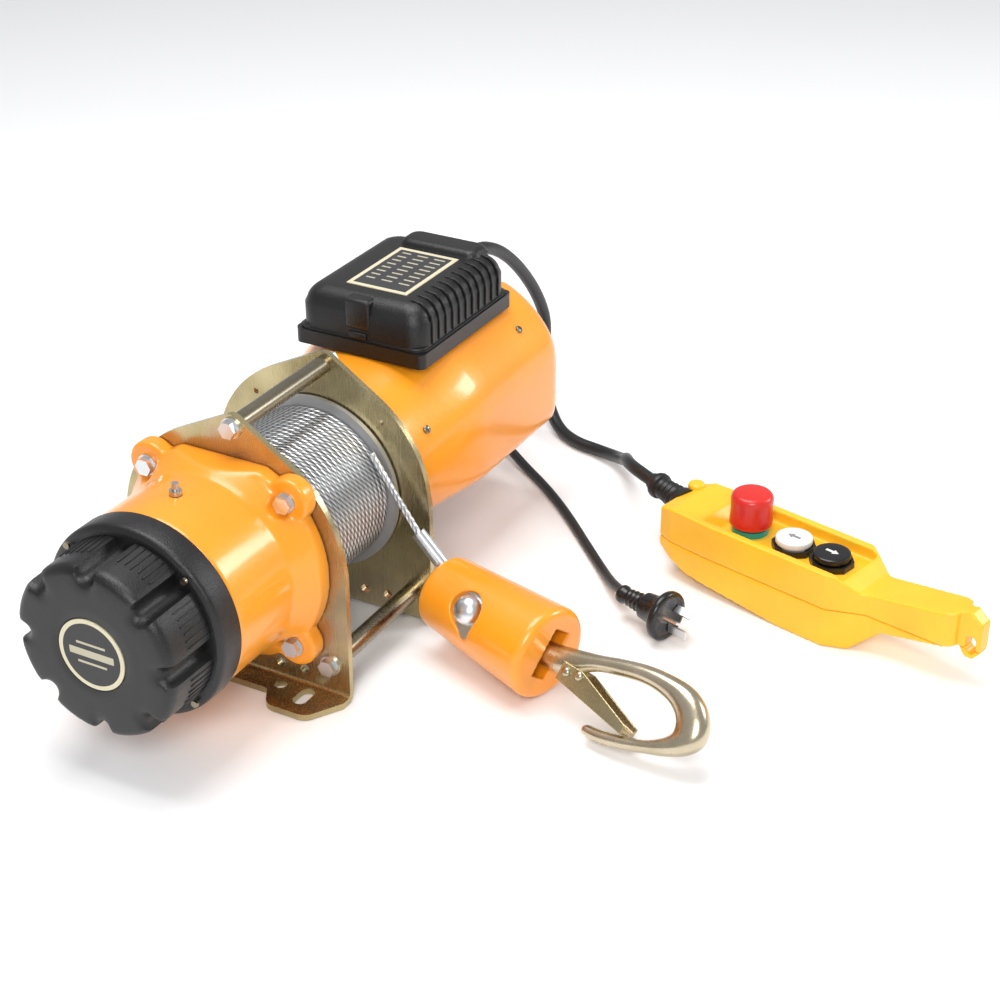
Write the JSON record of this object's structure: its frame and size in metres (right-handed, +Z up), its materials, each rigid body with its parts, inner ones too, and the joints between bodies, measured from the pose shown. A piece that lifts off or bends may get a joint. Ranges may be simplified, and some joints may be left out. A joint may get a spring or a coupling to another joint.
{
  "type": "electric wire rope hoist",
  "caption": "Electric wire rope hoist with a rope drum between foot plates, planetary gearbox and brake, motor with control box, cover with latched hook, and push-button pendant on a cord.",
  "frame": {"origin": "centre of the four foot slots, on the floor plane under the rope drum", "axes": "+X along the drum and motor shaft from gearbox to motor, +Y away from the side where the rope leaves, +Z up"},
  "size_m": [0.6569, 0.5892, 0.2375],
  "materials": {
    "orange_paint": "gloss",
    "gold_zinc": "satin",
    "steel": "satin",
    "bright_zinc": "polished",
    "black_plastic": "matt",
    "black_paint": "satin",
    "cast_grey": "cast",
    "gear_steel": "machined",
    "lamination": "stacked sheet",
    "bronze": "machined",
    "fan_plastic": "matt",
    "label": "printed sheet",
    "yellow_plastic": "moulded",
    "red_plastic": "moulded",
    "teal_plastic": "moulded",
    "white_plastic": "moulded",
    "black_gloss": "moulded",
    "rubber": "matt"
  },
  "bodies": {
    "hoist": {"gear_side_plate": "gold_zinc", "motor_side_plate": "gold_zinc", "tie_rods": "steel", "tie_rod_bolts": "bright_zinc", "drum_bushes": "bronze", "ring_gear": "gear_steel", "gear_housing": "orange_paint", "housing_bolts": "bright_zinc", "oil_plug": "steel", "brake_housing": "black_plastic", "brake_cover": "black_plastic", "end_badge": "label", "cover_screws": "steel", "brake_magnet": "black_paint", "motor_shell": "orange_paint", "motor_frame": "black_paint", "motor_end_shield": "cast_grey", "stator": "lamination", "shaft_bearings": "steel", "control_box_base": "black_plastic", "control_box_cover": "black_plastic", "nameplate": "label", "contactor": "black_gloss", "capacitor": "cast_grey", "terminal_block": "white_plastic", "box_screws": "steel", "pendant_cord": "rubber", "mains_cord": "rubber", "cord_glands": "rubber", "plug_body": "black_plastic", "plug_pins": "bright_zinc", "hook_cover": "orange_paint", "hook_pin": "bright_zinc", "rope_lead": "bright_zinc", "rope_ferrule": "bright_zinc", "pendant_front_shell": "yellow_plastic", "pendant_back_shell": "yellow_plastic", "pendant_boot": "rubber", "button_bodies": "black_plastic", "estop_base": "teal_plastic"},
    "drum": {"drum": "cast_grey", "rope_winding": "bright_zinc"},
    "output_planet_1": {"output_planet_1": "gear_steel"},
    "output_planet_2": {"output_planet_2": "gear_steel"},
    "output_planet_3": {"output_planet_3": "gear_steel"},
    "first_carrier": {"first_carrier": "gear_steel"},
    "first_planet_1": {"first_planet_1": "gear_steel"},
    "first_planet_2": {"first_planet_2": "gear_steel"},
    "first_planet_3": {"first_planet_3": "gear_steel"},
    "rotor": {"motor_shaft": "steel", "rotor_core": "lamination", "cooling_fan": "fan_plastic", "brake_disc": "cast_grey"},
    "hook": {"hook": "gold_zinc"},
    "hook_latch": {"hook_latch": "gold_zinc"},
    "lower_button": {"lower_button": "white_plastic"},
    "raise_button": {"raise_button": "black_gloss"},
    "estop_stem": {"estop_stem": "red_plastic"},
    "estop_head": {"estop_head": "red_plastic"}
  },
  "joints": [
    {"name": "drum_spin", "type": "hinge", "parent": "hoist", "child": "drum", "pos_m": [0, 0, 0.1055], "axis": [1, 0, 0], "continuous": true},
    {"name": "first_carrier_spin", "type": "hinge", "parent": "hoist", "child": "first_carrier", "pos_m": [-0.09, 0, 0.1055], "axis": [1, 0, 0], "continuous": true},
    {"name": "rotor_spin", "type": "hinge", "parent": "hoist", "child": "rotor", "pos_m": [0.15, 0, 0.1055], "axis": [1, 0, 0], "continuous": true},
    {"name": "output_planet_1_spin", "type": "hinge", "parent": "drum", "child": "output_planet_1", "pos_m": [-0.078, 0.03, 0.1055], "axis": [1, 0, 0], "continuous": true},
    {"name": "output_planet_2_spin", "type": "hinge", "parent": "drum", "child": "output_planet_2", "pos_m": [-0.078, -0.015, 0.13148], "axis": [1, 0, 0], "continuous": true},
    {"name": "output_planet_3_spin", "type": "hinge", "parent": "drum", "child": "output_planet_3", "pos_m": [-0.078, -0.015, 0.07952], "axis": [1, 0, 0], "continuous": true},
    {"name": "first_planet_1_spin", "type": "hinge", "parent": "first_carrier", "child": "first_planet_1", "pos_m": [-0.103, 0.03, 0.1055], "axis": [1, 0, 0], "continuous": true},
    {"name": "first_planet_2_spin", "type": "hinge", "parent": "first_carrier", "child": "first_planet_2", "pos_m": [-0.103, -0.015, 0.13148], "axis": [1, 0, 0], "continuous": true},
    {"name": "first_planet_3_spin", "type": "hinge", "parent": "first_carrier", "child": "first_planet_3", "pos_m": [-0.103, -0.015, 0.07952], "axis": [1, 0, 0], "continuous": true},
    {"name": "hook_pivot", "type": "hinge", "parent": "hoist", "child": "hook", "pos_m": [0.0305, -0.16, 0.0423], "axis": [0.7746, -0.1838, -0.6052], "range_deg": [-6, 6]},
    {"name": "latch_hinge", "type": "hinge", "parent": "hook", "child": "hook_latch", "pos_m": [0.0045, -0.24376, 0.03446], "axis": [-0.7746, 0.1838, 0.6052], "range_deg": [0, 20], "stiffness_Nm_per_rad": 0.2, "springref_deg": -17.19},
    {"name": "lower_press", "type": "slide", "parent": "hoist", "child": "lower_button", "axis": [0, 0, -1], "range_m": [0, 0.004], "stiffness_N_per_m": 600, "springref_m": -0.002},
    {"name": "raise_press", "type": "slide", "parent": "hoist", "child": "raise_button", "axis": [0, 0, -1], "range_m": [0, 0.004], "stiffness_N_per_m": 600, "springref_m": -0.002},
    {"name": "estop_press", "type": "slide", "parent": "hoist", "child": "estop_stem", "axis": [0, 0, -1], "range_m": [0, 0.005]},
    {"name": "estop_twist", "type": "hinge", "parent": "estop_stem", "child": "estop_head", "pos_m": [0.2265, -0.2874, 0.075], "axis": [0, 0, -1], "range_deg": [0, 45], "stiffness_Nm_per_rad": 0.05, "springref_deg": -11.46}
  ],
  "couplings": [
    {"joint": "first_carrier_spin", "follows": "drum_spin", "ratio": 5},
    {"joint": "rotor_spin", "follows": "drum_spin", "ratio": 25},
    {"joint": "output_planet_1_spin", "follows": "drum_spin", "ratio": -2.6667},
    {"joint": "output_planet_2_spin", "follows": "drum_spin", "ratio": -2.6667},
    {"joint": "output_planet_3_spin", "follows": "drum_spin", "ratio": -2.6667},
    {"joint": "first_planet_1_spin", "follows": "drum_spin", "ratio": -13.333},
    {"joint": "first_planet_2_spin", "follows": "drum_spin", "ratio": -13.333},
    {"joint": "first_planet_3_spin", "follows": "drum_spin", "ratio": -13.333}
  ]
}
